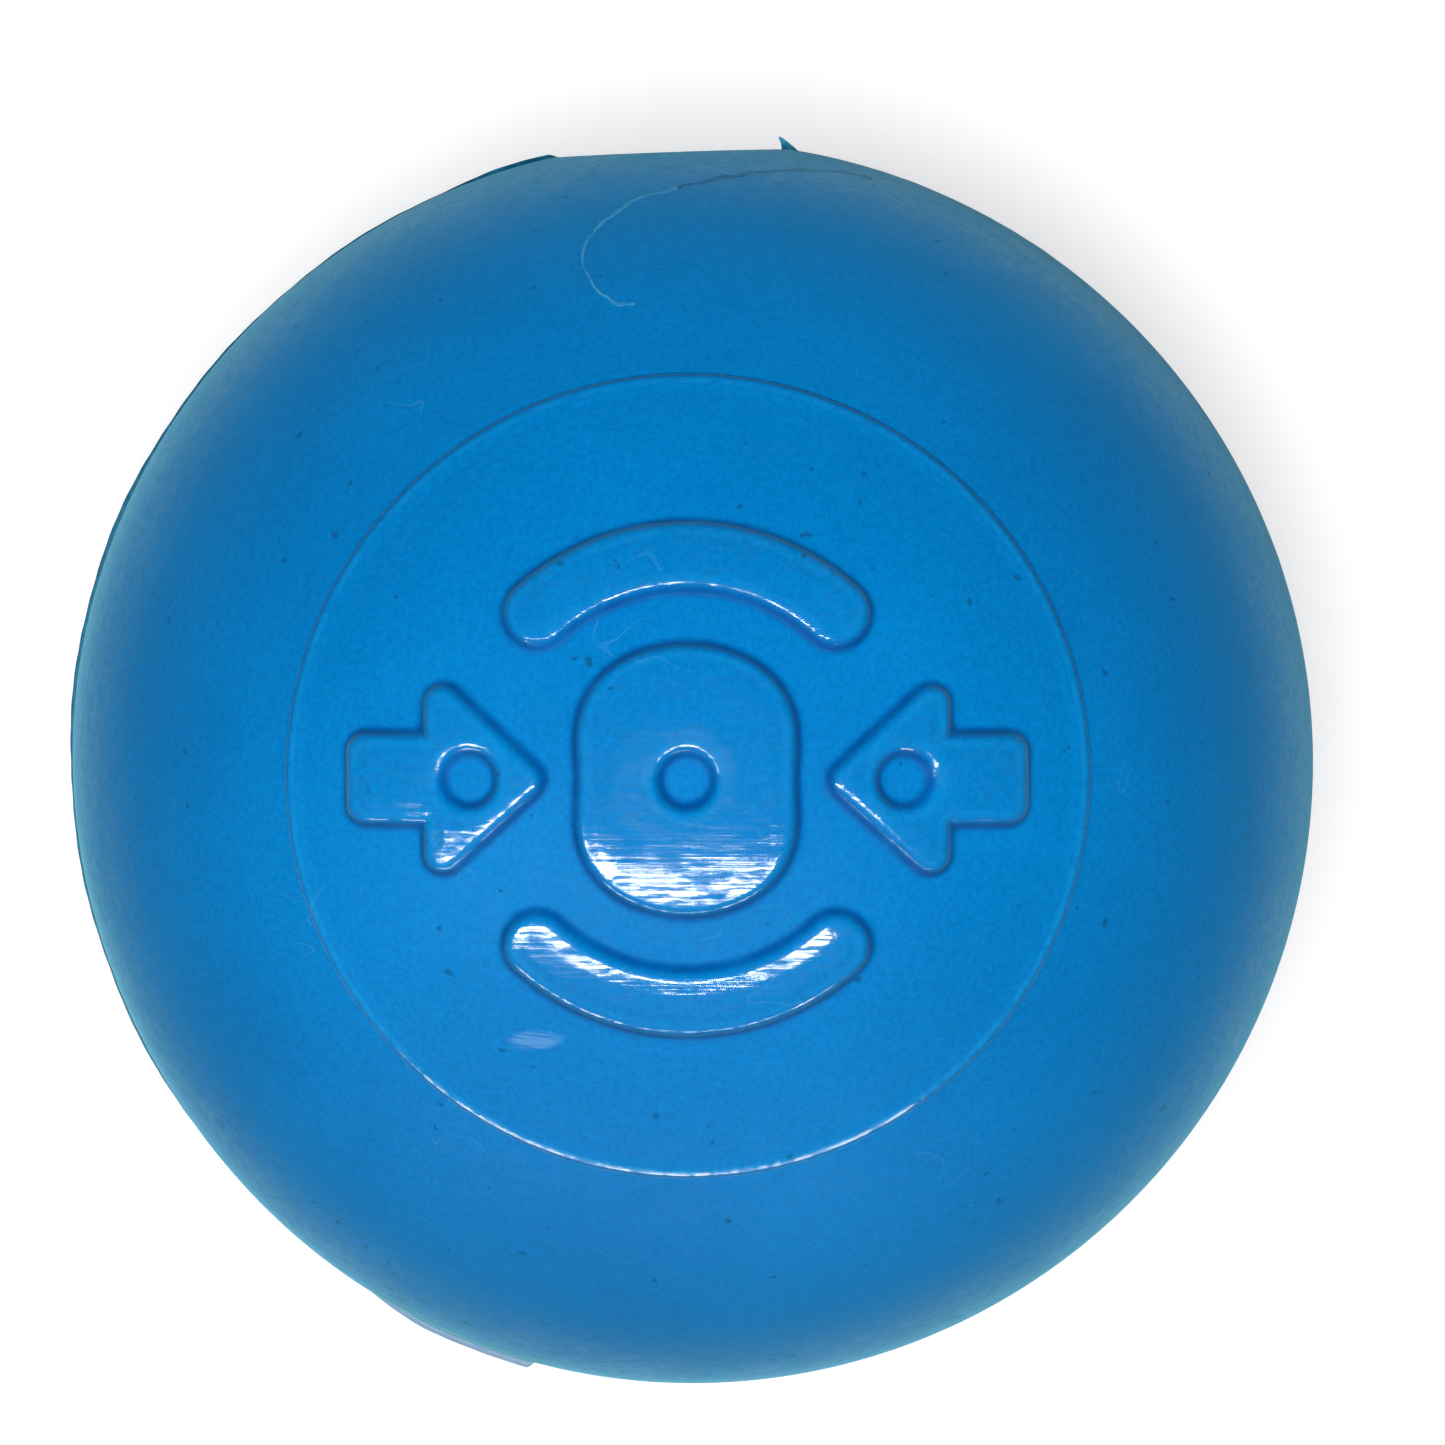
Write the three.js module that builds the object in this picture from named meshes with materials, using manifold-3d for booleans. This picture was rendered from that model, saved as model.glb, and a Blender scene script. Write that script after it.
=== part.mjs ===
// Stress ball: two moulded rubber half shells bonded along a horizontal seam,
// a soft foam core inside them, and a plug that closes the filling hole.
// Millimetres, +Z up. The origin is the centre of the ball.
// +Z runs through the medallion and +Y through the filling plug.

import * as THREE from 'three';
import { mergeVertices } from 'three/addons/utils/BufferGeometryUtils.js';
import Module from 'manifold-3d';

const wasm = await Module();
wasm.setup();

// Ball and skin
const ballDiameter = 63.5;
const wallThickness = 3.2;

// Medallion: a low round disc moulded on the pole of the upper half shell
const medallionDiameter = 39.7;
const medallionHeight = 0.28;

// Bond: the layer of rubber cement between the two rims, with its flash outside
const bondThickness = 0.6;
const bondFlash = 0.12;
const bondInset = 0.4;

// Filling hole and plug
const flatDiameter = 12.4; // the face trimmed flat across the plug
const plugDiameter = 9.6;
const flangeDiameter = 13.4;
const flangeThickness = 1.6;

// Clearances
const rimClearance = 0.1; // between a rim and the bond
const fitClearance = 0.3; // round the plug, and between the core and what holds it

// Raised pictogram on the medallion: a ball pressed from both sides
const markHeight = 0.65;
const markRoot = 1.0; // how deep the marks reach into the wall
const dimpleDiameter = 2.7;
const ballMark = { radius: 6.6, dent: 1.3 };
const arrowMark = {
  tip: 6.6, // from the centre to the arrow's point
  tail: 16.6, // from the centre to the end of its shaft
  headLength: 6.2,
  headWidth: 11.4,
  shaftWidth: 4.4,
  cornerRadius: 0.9,
  dimpleAt: 10.6, // from the centre to the dimple
};
const barMark = { radius: 10.9, width: 3.2, halfAngle: 42 };
const markTurn = -2; // degrees the marks sit round from the plug

// Facets
const aroundBall = 64;
const stepsToRim = 14;
const stepsInside = 8;
const aroundCore = 40;
const aroundPlug = 32;
const markSteps = 7;

// Sizes that follow from those above
const ballRadius = ballDiameter / 2;
const cavityRadius = ballRadius - wallThickness;
const medallionRadius = medallionDiameter / 2;
const medallionTop = ballRadius + medallionHeight;
const markTop = medallionTop + markHeight;
const rimHeight = bondThickness / 2 + rimClearance;
const plugRadius = plugDiameter / 2;
const flangeRadius = flangeDiameter / 2;
const flatY = Math.sqrt(ballRadius ** 2 - (flatDiameter / 2) ** 2);
const flangeTop = Math.sqrt(cavityRadius ** 2 - flangeRadius ** 2) - fitClearance;
const flangeBase = flangeTop - flangeThickness;

function toSolid(geometry) {
  geometry.deleteAttribute('normal');
  geometry.deleteAttribute('uv');
  const merged = mergeVertices(geometry);
  const corners = Array.from(merged.index.array);
  const triVerts = [];
  for (let i = 0; i < corners.length; i += 3) {
    const [a, b, c] = corners.slice(i, i + 3);
    // at a pole the lathe leaves triangles with two corners in one place
    if (a !== b && b !== c && c !== a) triVerts.push(a, b, c);
  }
  const vertProperties = new Float32Array(merged.attributes.position.array);
  return new wasm.Manifold(
    new wasm.Mesh({ numProp: 3, vertProperties, triVerts: new Uint32Array(triVerts) }),
  );
}

function toGeometry(solid) {
  const mesh = solid.getMesh();
  const geometry = new THREE.BufferGeometry();
  geometry.setAttribute('position', new THREE.BufferAttribute(mesh.vertProperties, 3));
  geometry.setIndex(new THREE.BufferAttribute(mesh.triVerts, 1));
  geometry.computeVertexNormals();
  return geometry;
}

// A point of a half profile: radius from the axis and height, at an angle from the pole.
function onArc(radius, angle) {
  return new THREE.Vector2(radius * Math.sin(angle), radius * Math.cos(angle));
}

// Points along an arc of a half profile, both ends included.
function arcPoints(radius, from, to, steps) {
  const points = [];
  for (let i = 0; i <= steps; i += 1) {
    points.push(onArc(radius, from + ((to - from) * i) / steps));
  }
  points.forEach((point) => {
    if (Math.abs(point.x) < 1e-9) point.x = 0;
  });
  return points;
}

// Turns a half profile, listed from its low end to its high end, into a solid about +Z.
function turned(points, segments) {
  return toSolid(new THREE.LatheGeometry(points, segments).rotateX(Math.PI / 2));
}

function solidBall(radius, around, steps) {
  return turned(arcPoints(radius, Math.PI, 0, steps), around);
}

// A round bar along +Y, from one distance to another.
function barAlongY(radius, from, to) {
  const bar = new THREE.CylinderGeometry(radius, radius, to - from, aroundPlug);
  return toSolid(bar.translate(0, (from + to) / 2, 0));
}

// What is trimmed off outside the flat face.
function beyondTheFlat() {
  const depth = ballRadius;
  const box = new THREE.BoxGeometry(ballDiameter, depth, ballDiameter);
  return toSolid(box.translate(0, flatY + depth / 2, 0));
}

function fillingHole() {
  return barAlongY(plugRadius + fitClearance, cavityRadius / 2, ballDiameter);
}

// Half a hollow ball above the rim. topRadius is larger than the ball's on a medallion.
function halfShell(topRadius) {
  const inner = arcPoints(cavityRadius, 0, Math.acos(rimHeight / cavityRadius), stepsInside);
  const edge = Math.asin(medallionRadius / ballRadius);
  const outer = arcPoints(ballRadius, Math.acos(rimHeight / ballRadius), edge, stepsToRim);
  const edgeAbove = Math.asin(medallionRadius / topRadius);
  const cap = arcPoints(topRadius, edgeAbove, 0, stepsToRim / 2);
  const raised = topRadius > ballRadius ? cap : cap.slice(1);
  return turned([...inner, ...outer, ...raised], aroundBall)
    .subtract(fillingHole())
    .subtract(beyondTheFlat());
}

// A closed outline through the given corners, each rounded.
function roundedOutline(corners, radius) {
  const shape = new THREE.Shape();
  corners.forEach((corner, i) => {
    const before = corners[(i + corners.length - 1) % corners.length];
    const after = corners[(i + 1) % corners.length];
    const toBefore = before.clone().sub(corner).normalize();
    const toAfter = after.clone().sub(corner).normalize();
    const half = Math.acos(toBefore.dot(toAfter)) / 2;
    const setBack = radius / Math.tan(half);
    const start = corner.clone().addScaledVector(toBefore, setBack);
    const end = corner.clone().addScaledVector(toAfter, setBack);
    if (i === 0) shape.moveTo(start.x, start.y);
    else shape.lineTo(start.x, start.y);
    shape.quadraticCurveTo(corner.x, corner.y, end.x, end.y);
  });
  shape.closePath();
  return shape;
}

// A disc pinched at its left and right, where the arrows press.
function ballOutline() {
  const shape = new THREE.Shape();
  const count = 6 * markSteps;
  for (let i = 0; i < count; i += 1) {
    const angle = (2 * Math.PI * i) / count;
    const radius = ballMark.radius - ballMark.dent * Math.cos(angle) ** 6;
    const point = [radius * Math.cos(angle), radius * Math.sin(angle)];
    if (i === 0) shape.moveTo(...point);
    else shape.lineTo(...point);
  }
  shape.closePath();
  return shape;
}

// An arrow on the +X side that points at the centre.
function arrowOutline() {
  const { tip, tail, headLength, headWidth, shaftWidth, cornerRadius } = arrowMark;
  const neck = tip + headLength;
  const corners = [
    [tip, 0],
    [neck, -headWidth / 2],
    [neck, -shaftWidth / 2],
    [tail, -shaftWidth / 2],
    [tail, shaftWidth / 2],
    [neck, shaftWidth / 2],
    [neck, headWidth / 2],
  ];
  return roundedOutline(corners.map(([x, y]) => new THREE.Vector2(x, y)), cornerRadius);
}

// A curved bar over the ball, with round ends.
function barOutline() {
  const { radius, width, halfAngle } = barMark;
  const spread = THREE.MathUtils.degToRad(halfAngle);
  const start = Math.PI / 2 - spread;
  const end = Math.PI / 2 + spread;
  const shape = new THREE.Shape();
  const endCap = (angle, turn) => {
    shape.absarc(radius * Math.cos(angle), radius * Math.sin(angle), width / 2, turn, turn + Math.PI);
  };
  shape.absarc(0, 0, radius + width / 2, start, end);
  endCap(end, end);
  shape.absarc(0, 0, radius - width / 2, end, start, true);
  endCap(start, start + Math.PI);
  return shape;
}

// An outline drawn up through the top of the ball.
function prism(shape) {
  const options = { depth: ballRadius, bevelEnabled: false, curveSegments: markSteps };
  return toSolid(new THREE.ExtrudeGeometry(shape, options).translate(0, 0, ballRadius / 2));
}

function dimpleAt(x) {
  const shape = new THREE.Shape();
  shape.absarc(x, 0, dimpleDiameter / 2, 0, 2 * Math.PI);
  return prism(shape);
}

// The raised marks, from inside the wall up to the level of their tops.
function pictogram() {
  const arrow = prism(arrowOutline()).subtract(dimpleAt(arrowMark.dimpleAt));
  const bar = prism(barOutline());
  const marks = [
    prism(ballOutline()).subtract(dimpleAt(0)),
    arrow,
    arrow.rotate([0, 0, 180]),
    bar,
    bar.rotate([0, 0, 180]),
  ];
  return wasm.Manifold.union(marks)
    .rotate([0, 0, markTurn])
    .intersect(solidBall(markTop, aroundBall, 2 * stepsToRim))
    .subtract(solidBall(ballRadius - markRoot, aroundCore, 2 * stepsInside));
}

function upperHalfShell() {
  return toGeometry(halfShell(medallionTop).add(pictogram()));
}

function lowerHalfShell() {
  return toGeometry(halfShell(ballRadius).rotate([0, 180, 0]));
}

function seamBond() {
  const inner = cavityRadius + bondInset;
  const outer = ballRadius + bondFlash;
  const half = bondThickness / 2;
  const section = [
    [inner, -half],
    [outer - bondFlash, -half],
    [outer, 0],
    [outer - bondFlash, half],
    [inner, half],
    [inner, -half],
  ];
  const points = section.map(([x, y]) => new THREE.Vector2(x, y));
  return toGeometry(turned(points, aroundBall).subtract(fillingHole()).subtract(beyondTheFlat()));
}

// Shank through the wall, trimmed flush with the flat, and a flange behind the wall.
function fillPlug() {
  const profile = [
    [0, flangeBase],
    [flangeRadius, flangeBase],
    [flangeRadius, flangeTop],
    [plugRadius, flangeTop],
    [plugRadius, flatY],
    [0, flatY],
  ];
  return new THREE.LatheGeometry(
    profile.map(([x, y]) => new THREE.Vector2(x, y)),
    aroundPlug,
  );
}

// Foam that fills the cavity, with a pocket for the plug's flange.
function foamCore() {
  const pocket = barAlongY(flangeRadius + fitClearance, flangeBase - fitClearance, ballDiameter);
  const core = solidBall(cavityRadius - fitClearance, aroundCore, 2 * stepsInside);
  return toGeometry(core.subtract(pocket));
}

function rubber(colour, roughness) {
  return new THREE.MeshStandardMaterial({ color: colour, roughness, metalness: 0 });
}

function piece(name, geometry, material) {
  const mesh = new THREE.Mesh(geometry, material);
  mesh.name = name;
  return mesh;
}

const ball = new THREE.Group();
ball.add(
  piece('upper_half_shell', upperHalfShell(), rubber(0x0f7cc4, 0.35)),
  piece('lower_half_shell', lowerHalfShell(), rubber(0x0d76bc, 0.38)),
  piece('seam_bond', seamBond(), rubber(0x0a5f99, 0.5)),
  piece('fill_plug', fillPlug(), rubber(0x1272b4, 0.5)),
  piece('foam_core', foamCore(), rubber(0xd9d2b8, 0.95)),
);

export default ball;
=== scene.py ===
# Blue rubber stress ball: skins, seam flash, plug and foam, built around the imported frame.
import math
import bpy
import numpy as np
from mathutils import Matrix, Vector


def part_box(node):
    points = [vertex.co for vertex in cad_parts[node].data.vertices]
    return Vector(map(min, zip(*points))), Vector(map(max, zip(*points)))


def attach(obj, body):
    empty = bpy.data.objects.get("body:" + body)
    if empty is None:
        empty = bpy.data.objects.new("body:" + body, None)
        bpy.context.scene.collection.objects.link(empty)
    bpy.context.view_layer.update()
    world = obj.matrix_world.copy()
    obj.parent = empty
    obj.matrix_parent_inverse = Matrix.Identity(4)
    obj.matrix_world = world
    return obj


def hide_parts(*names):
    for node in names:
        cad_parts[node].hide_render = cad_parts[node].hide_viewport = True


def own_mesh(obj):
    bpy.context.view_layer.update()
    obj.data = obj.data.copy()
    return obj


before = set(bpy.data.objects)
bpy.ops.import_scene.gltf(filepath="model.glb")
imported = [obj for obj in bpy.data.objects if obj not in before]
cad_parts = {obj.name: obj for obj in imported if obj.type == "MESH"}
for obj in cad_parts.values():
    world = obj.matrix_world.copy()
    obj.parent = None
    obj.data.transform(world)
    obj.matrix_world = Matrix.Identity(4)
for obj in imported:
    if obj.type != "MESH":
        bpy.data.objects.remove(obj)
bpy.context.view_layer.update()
mm = 0.001

# Sizes read from the frame, in millimetres
ballRadius = -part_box("lower_half_shell")[0].z / mm
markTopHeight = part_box("upper_half_shell")[1].z / mm
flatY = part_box("fill_plug")[1].y / mm
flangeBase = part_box("fill_plug")[0].y / mm
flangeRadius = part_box("fill_plug")[1].x / mm
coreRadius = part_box("foam_core")[1].x / mm

mould = {
    "wall": 3.2,
    "medallionRadius": 19.85,
    "medallionHeight": 0.28,
    "markTurn": -2.0,  # degrees the marks sit round from the plug
    "plugHole": 4.85,
    "rimGap": 0.04,  # half the space between the two rims
    "seamDip": 0.07,  # how far the skin rounds off towards the seam
    "seamDipWidth": 0.35,
}
cavityRadius = ballRadius - mould["wall"]
markHeight = markTopHeight - ballRadius - mould["medallionHeight"]
print("frame read, ball radius", round(ballRadius, 3), "mm")


# Rises from 0 to 1 as t goes from 0 to 1, level at both ends
def smooth(t):
    t = np.clip(t, 0, 1)
    return t * t * (3 - 2 * t)


# Unit vectors: colatitude from +Z, azimuth from +X towards +Y
def towards(colatitude, azimuth):
    c, a = np.broadcast_arrays(colatitude, azimuth)
    return np.stack([np.sin(c) * np.cos(a), np.sin(c) * np.sin(a), np.cos(c)], axis=-1)


outOfRound = {"amount": 0.3, "towards": 208, "spread": 26, "height": 14}


# Flattens the ball a little on one side, by a bell curve of azimuth and height
def settled(points):
    azimuth = np.degrees(np.arctan2(points[:, 1], points[:, 0])) % 360
    off = (azimuth - outOfRound["towards"] + 180) % 360 - 180
    bell = np.exp(-(off / outOfRound["spread"]) ** 2 - (points[:, 2] / outOfRound["height"]) ** 2)
    far = np.linalg.norm(points, axis=1, keepdims=True)
    return points * (1 - outOfRound["amount"] * bell[:, None] / np.maximum(far, 1))


# Pulls whatever lies past the knife cut back along its own ray, on to the flat
def trimmed(points):
    share = np.where(points[:, 1] > flatY, flatY / np.maximum(points[:, 1], 1e-6), 1)
    return points * share[:, None]


# A mesh from points in millimetres, four-sided faces and three-sided faces
def makePiece(name, points, quads, triangles):
    mesh = bpy.data.meshes.new(name)
    triangles = np.array(triangles, np.int32).reshape(-1, 3)
    corners = np.concatenate([np.ravel(quads), np.ravel(triangles)]).astype(np.int32)
    sizes = np.concatenate([np.full(len(quads), 4), np.full(len(triangles), 3)])
    mesh.vertices.add(len(points))
    mesh.vertices.foreach_set("co", (points * mm).astype(np.float32).ravel())
    mesh.loops.add(len(corners))
    mesh.loops.foreach_set("vertex_index", corners)
    mesh.polygons.add(len(sizes))
    mesh.polygons.foreach_set("loop_start", (np.cumsum(sizes) - sizes).astype(np.int32))
    mesh.update(calc_edges=True)
    mesh.shade_smooth()
    # the patterns are laid out over the unsquashed shape
    rest = mesh.attributes.new("restPlace", "FLOAT_VECTOR", "POINT")
    rest.data.foreach_set("vector", points.astype(np.float32).ravel())
    piece = bpy.data.objects.new(name, mesh)
    bpy.context.scene.collection.objects.link(piece)
    return piece


# Faces between successive closed loops of vertex numbers, wound to face outwards
def ringQuads(loops):
    above, below = loops[:-1], loops[1:]
    return np.stack([below, np.roll(below, -1, 1), np.roll(above, -1, 1), above], -1).reshape(-1, 4)


# One number for each vertex, for the materials to read
def storeAttribute(piece, name, values):
    layer = piece.data.attributes.new(name, "FLOAT", "POINT")
    layer.data.foreach_set("value", values.astype(np.float32))


ballMark = {"radius": 6.6, "dent": 1.3}
arrowMark = {
    "tip": 6.6,
    "tail": 16.6,
    "headLength": 6.2,
    "headWidth": 11.4,
    "shaftWidth": 4.4,
    "cornerRadius": 0.9,
    "dimpleAt": 10.6,
}
barMark = {"radius": 10.9, "width": 3.2, "halfAngle": 42}
dimpleRadius = 1.35


# Distance from a disc whose radius shrinks by dent times cos^6 of the polar angle
def pinchedDisc(x, y):
    far = np.hypot(x, y)
    cosine = x / np.maximum(far, 1e-6)
    sine = y / np.maximum(far, 1e-6)
    edge = ballMark["radius"] - ballMark["dent"] * cosine ** 6
    slope = 6 * ballMark["dent"] * cosine ** 5 * sine / edge
    return (far - edge) / np.sqrt(1 + slope ** 2)


# The corners of a polygon, listed anticlockwise, after all its sides are moved inwards
def insetCorners(corners, amount):
    ahead = np.roll(corners, -1, 0) - corners
    ahead /= np.linalg.norm(ahead, axis=1, keepdims=True)
    after = np.stack([-ahead[:, 1], ahead[:, 0]], 1)
    before = np.roll(after, 1, 0)
    return corners + amount * (before + after) / (1 + (before * after).sum(1, keepdims=True))


# Distance from a polygon: to the nearest side, negative where a ray crosses sides an odd number of times
def polygonDistance(x, y, corners):
    best, inside = np.full(x.shape, np.inf), np.zeros(x.shape, bool)
    for (ax, ay), (bx, by) in zip(corners, np.roll(corners, -1, 0)):
        dx, dy = bx - ax, by - ay
        t = np.clip(((x - ax) * dx + (y - ay) * dy) / (dx * dx + dy * dy), 0, 1)
        best = np.minimum(best, np.hypot(x - ax - t * dx, y - ay - t * dy))
        spans = (ay > y) != (by > y)
        crossing = ax + (y - ay) * dx / (dy if abs(dy) > 1e-9 else 1e-9)
        inside ^= spans & (x < crossing)
    return np.where(inside, -best, best)


# Distance from an arrow on the +X side that points at the centre, with rounded corners
def arrow(x, y):
    m = arrowMark
    neck = m["tip"] + m["headLength"]
    corners = np.array([
        [m["tip"], 0],
        [neck, -m["headWidth"] / 2],
        [neck, -m["shaftWidth"] / 2],
        [m["tail"], -m["shaftWidth"] / 2],
        [m["tail"], m["shaftWidth"] / 2],
        [neck, m["shaftWidth"] / 2],
        [neck, m["headWidth"] / 2],
    ])
    inner = insetCorners(corners, m["cornerRadius"])
    return polygonDistance(x, y, inner) - m["cornerRadius"]


# Distance from an arc over the ball, thickened to a bar with round ends
def curvedBar(x, y):
    spread = math.radians(barMark["halfAngle"])
    fromUp = np.abs(np.arctan2(x, y))
    onArc = np.abs(np.hypot(x, y) - barMark["radius"])
    endX, endY = barMark["radius"] * math.sin(spread), barMark["radius"] * math.cos(spread)
    toEnd = np.hypot(np.abs(x) - endX, y - endY)
    return np.where(fromUp < spread, onArc, toEnd) - barMark["width"] / 2


# Distance from the whole pictogram, which is the same on its left and right
def marks(x, y):
    turn = math.radians(-mould["markTurn"])
    x, y = x * math.cos(turn) - y * math.sin(turn), x * math.sin(turn) + y * math.cos(turn)
    side, up = np.abs(x), np.abs(y)
    drilledBall = np.maximum(pinchedDisc(x, y), dimpleRadius - np.hypot(x, y))
    dimple = dimpleRadius - np.hypot(side - arrowMark["dimpleAt"], y)
    drilledArrow = np.maximum(arrow(side, y), dimple)
    return np.minimum(np.minimum(drilledBall, drilledArrow), curvedBar(x, up))


markEdge = {
    "reach": 0.88,  # how far from an outline the grid is drawn in towards it
    "pull": 1.5,
    "wall": 0.30,  # half the width of the sloping wall
    "crown": 0.6,  # how far in the rounding of the top edge goes
    "crownDrop": 0.06,
    "track": 0.95,  # width of the tool's last pass round each outline
    "trackDepth": 0.03,
    "trackEdge": 0.18,
}


# Height over the medallion as a share of the marks' height: an S-shaped wall, a rounded top edge
def markProfile(s):
    wall = smooth((markEdge["wall"] - s) / (2 * markEdge["wall"]))
    crown = smooth(-s / markEdge["crown"])
    track = smooth((-s - markEdge["track"] + markEdge["trackEdge"] / 2) / markEdge["trackEdge"])
    drop = markEdge["crownDrop"] * (1 - crown) + markEdge["trackDepth"] * (1 - track)
    return wall * (1 - drop / markHeight)


# Slides grid points towards the outlines: distance d becomes reach times (d / reach) to the power pull
def drawIn(x, y):
    step = 1e-3
    s = marks(x, y)
    gx = (marks(x + step, y) - marks(x - step, y)) / (2 * step)
    gy = (marks(x, y + step) - marks(x, y - step)) / (2 * step)
    size = np.maximum(np.hypot(gx, gy), 0.5)
    share = np.abs(s) / markEdge["reach"]
    move = np.where(share < 1, s * (share ** (markEdge["pull"] - 1) - 1), 0)
    return x + move * gx / size, y + move * gy / size


# A square grid laid on a disc: squares about the centre become circles. Returns radius share and azimuth
def discGrid(count):
    line = np.linspace(-1, 1, count)
    u, v = np.meshgrid(line, line)
    wide = np.abs(u) > np.abs(v)
    big = np.where(wide, u, v)
    ratio = np.where(wide, v, u) / np.where(big == 0, 1, big)
    azimuth = np.where(wide, ratio, 2 - ratio) * math.pi / 4 + np.where(big < 0, math.pi, 0)
    return np.abs(big).ravel(), azimuth.ravel()


# The faces of a square grid of count by count vertices, and its border as one anticlockwise loop
def gridFaces(count):
    number = np.arange(count * count).reshape(count, count)
    quads = np.stack([number[:-1, :-1], number[:-1, 1:], number[1:, 1:], number[1:, :-1]], -1)
    border = np.concatenate([number[:-1, -1], number[-1, :0:-1], number[:0:-1, 0], number[0, :-1]])
    return quads.reshape(-1, 4), border


# Where a half shell ends: just short of the seam, and round the filling hole above it
def rimColatitude(azimuth, radius):
    fromPlug = (azimuth - math.pi / 2 + math.pi) % (2 * math.pi) - math.pi
    cut = mould["plugHole"] / radius
    room = cut ** 2 - np.sin(fromPlug) ** 2
    overHole = np.sqrt(np.maximum(room, 0)) / np.cos(fromPlug)
    overHole = np.where(np.abs(fromPlug) < 1, overHole, 0)
    return np.arccos(np.maximum(overHole, mould["rimGap"] / radius))


# Half a hollow ball: a disc grid over the pole, rings down to the rim, then the cavity's rings and pole
def halfSkin(count, bandStart, bandRows, innerRows, radiusAt, spread):
    share, azimuth = discGrid(count)
    quads, border = gridFaces(count)
    x, y = bandStart * share * np.cos(azimuth), bandStart * share * np.sin(azimuth)
    x, y = spread(x, y)
    cap = np.stack([x, y, np.sqrt(ballRadius ** 2 - x ** 2 - y ** 2)], 1) / ballRadius
    around = -math.pi / 4 + np.arange(len(border)) * 2 * math.pi / len(border)
    start = math.asin(bandStart / ballRadius)
    rim = rimColatitude(around, flatY)
    down = bandRows[:, None]
    drawnUp = np.clip((down - 0.4) / 0.6, 0, 1) ** 2  # only the lower rows make room for the plug
    band = towards(start + (math.pi / 2 - start) * down - (math.pi / 2 - rim) * drawnUp, around)
    band = band.reshape(-1, 3)
    outer = np.concatenate([cap, band])
    outer = outer * radiusAt(outer)[:, None]
    # round the skin off towards the seam
    dip = mould["seamDip"] * np.exp(-(outer[:, 2] / mould["seamDipWidth"]) ** 2)
    outer *= 1 - (dip / ballRadius)[:, None]
    innerRim = rimColatitude(around, cavityRadius)
    up = 1 - np.linspace(0, 1, innerRows, endpoint=False)[:, None]
    inner = cavityRadius * towards(innerRim * up, around).reshape(-1, 3)
    points = np.concatenate([outer, inner, [[0, 0, cavityRadius]]])
    loops = np.arange(len(border) * (len(bandRows) + innerRows)).reshape(-1, len(border))
    loops = np.vstack([border, loops + len(cap)])
    pole = len(points) - 1
    last = loops[-1]
    fan = np.stack([np.full(len(last), pole), np.roll(last, -1), last], 1)
    return points, np.concatenate([quads, ringQuads(loops)]), fan


upperSkinBuild = {
    "gridCount": 221,
    "lipRows": 5,
    "edgeRows": 12,
    "footRows": 7,
    "footMargin": 0.1,
    "sideRows": 18,
    "sideDraw": 1.5,  # how strongly the rows are drawn in towards the seam
    "innerRows": 7,
}
# distances from the medallion's radius, and the height of the low lip just inside its edge
stepEdge = {"start": -0.22, "end": 0.14, "lip": 0.06, "lipFrom": -0.95, "lipTo": -0.40}
# where each look lies beside an outline or the medallion's edge, and how wide it is
glossEdge = {"markAt": 0.03, "markWidth": 0.25, "stepAt": 0.08, "stepWidth": 0.22, "stepFull": 1.4}
edgeHighlightPlace = {"stepAt": 0.32, "stepWidth": 0.22, "markAt": 0.50, "markWidth": 0.30, "markShare": 0.35}
footShade = {"markAt": 0.12, "markWidth": 0.38, "stepAt": 0.06, "stepWidth": 0.32}
# how far along +Y the lower and the upper side of the medallion begin, and over what length
sides = {"lowerFrom": 5, "lowerOver": 16, "upperFrom": -14, "upperOver": 28}


# Ball, then the medallion with a lip and an edge that rolls off as a quarter circle, then the marks
def upperRadius(directions):
    flat = directions[:, :2] * (ballRadius + mould["medallionHeight"])
    far = np.hypot(flat[:, 0], flat[:, 1])
    out, e = far - mould["medallionRadius"], stepEdge
    lip = e["lip"] * smooth((out - e["lipFrom"]) / (e["lipTo"] - e["lipFrom"]))
    rollOff = np.sqrt(1 - np.clip((out - e["start"]) / (e["end"] - e["start"]), 0, 1) ** 2)
    height = (mould["medallionHeight"] + lip) * rollOff
    facingUp = directions[:, 2] > 0.5
    return ballRadius + height + markHeight * markProfile(marks(flat[:, 0], flat[:, 1])) * facingUp


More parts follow.
